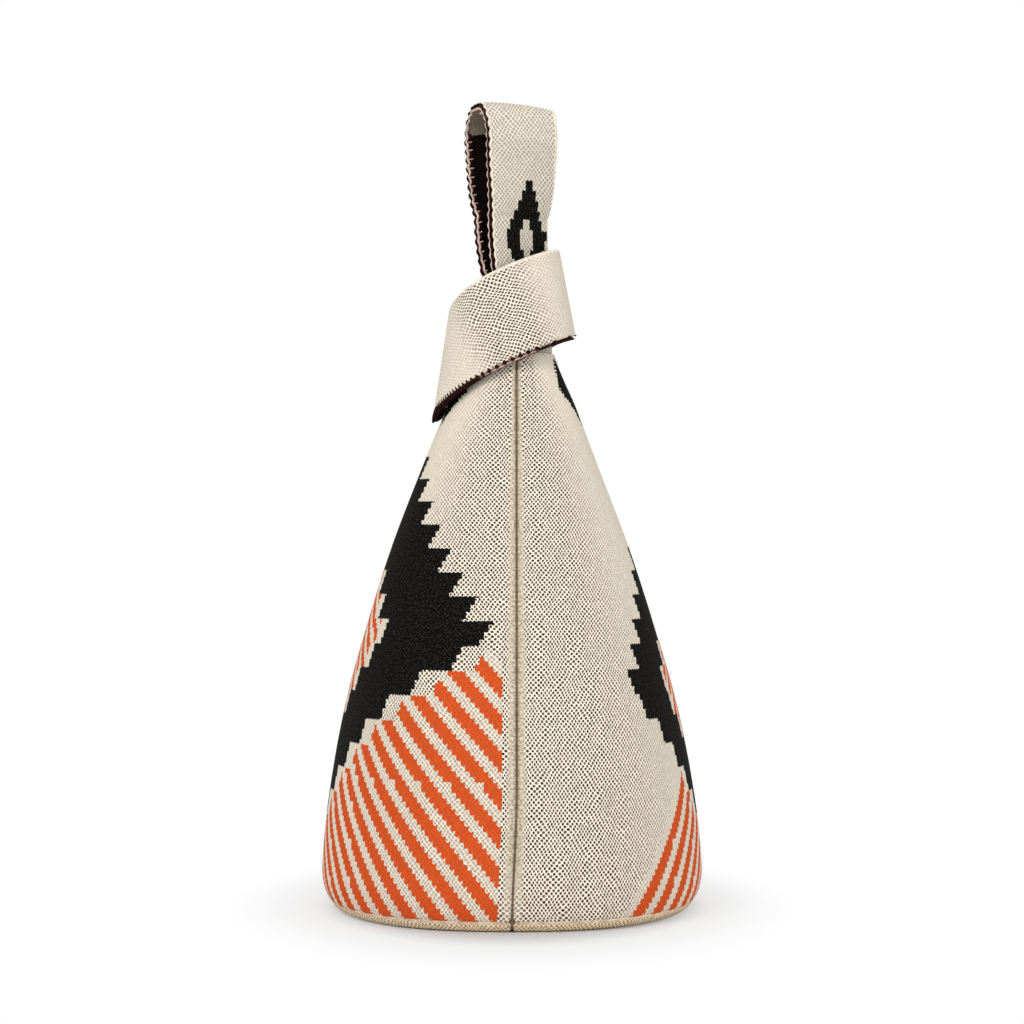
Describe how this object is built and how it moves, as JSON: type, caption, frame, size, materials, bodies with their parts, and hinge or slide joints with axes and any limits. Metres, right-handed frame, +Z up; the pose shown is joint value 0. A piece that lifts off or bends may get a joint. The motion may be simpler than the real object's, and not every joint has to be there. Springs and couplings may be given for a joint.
{
  "type": "knitted bucket bag",
  "caption": "Soft knitted bucket bag with an oval base, tapering to a neck that closes strap through strap under a carrying loop.",
  "frame": {"origin": "middle of the base's underside, on the surface that the bag stands on", "axes": "+Z up, +X towards the shoulder that carries the loop, -Y towards the front panel"},
  "size_m": [0.22, 0.17, 0.3602],
  "materials": {
    "cream_knit": "matt double knit, cream",
    "pattern_knit": "matt jacquard knit in cream, black and orange",
    "dark_edging": "overlocked edge in dark brown yarn",
    "cream_edging": "turned edge in cream yarn"
  },
  "bodies": {
    "bag": {"front_panel": "pattern_knit", "back_panel": "pattern_knit", "front_base": "cream_knit", "back_base": "cream_knit", "right_side_seam": "cream_knit", "left_side_seam": "cream_knit", "base_middle_seam": "cream_knit", "front_base_seam": "cream_knit", "back_base_seam": "cream_knit", "front_neck_strap": "cream_knit", "back_neck_strap": "cream_knit", "front_strap_leg": "cream_knit", "back_strap_leg": "cream_knit", "front_mouth_edging": "dark_edging", "back_mouth_edging": "dark_edging"},
    "band": {"short_strap_band": "cream_knit", "band_lower_edging": "dark_edging", "band_upper_edging": "cream_edging"},
    "carrying_loop": {"loop_near_strap": "cream_knit", "loop_far_strap": "cream_knit", "loop_crown_seam": "cream_edging", "loop_left_edging": "dark_edging", "loop_right_edging": "cream_edging"}
  },
  "joints": [
    {"name": "loop_fold", "type": "hinge", "parent": "bag", "child": "carrying_loop", "pos_m": [0, 0, 0.308], "axis": [-0.6428, 0.766, 0], "range_deg": [-80, 60], "deforming": ["front_neck_strap", "back_neck_strap"]},
    {"name": "band_slide", "type": "slide", "parent": "bag", "child": "band", "axis": [0, 0, 1], "range_m": [0, 0.006], "deforming": ["front_strap_leg", "back_strap_leg"]}
  ]
}
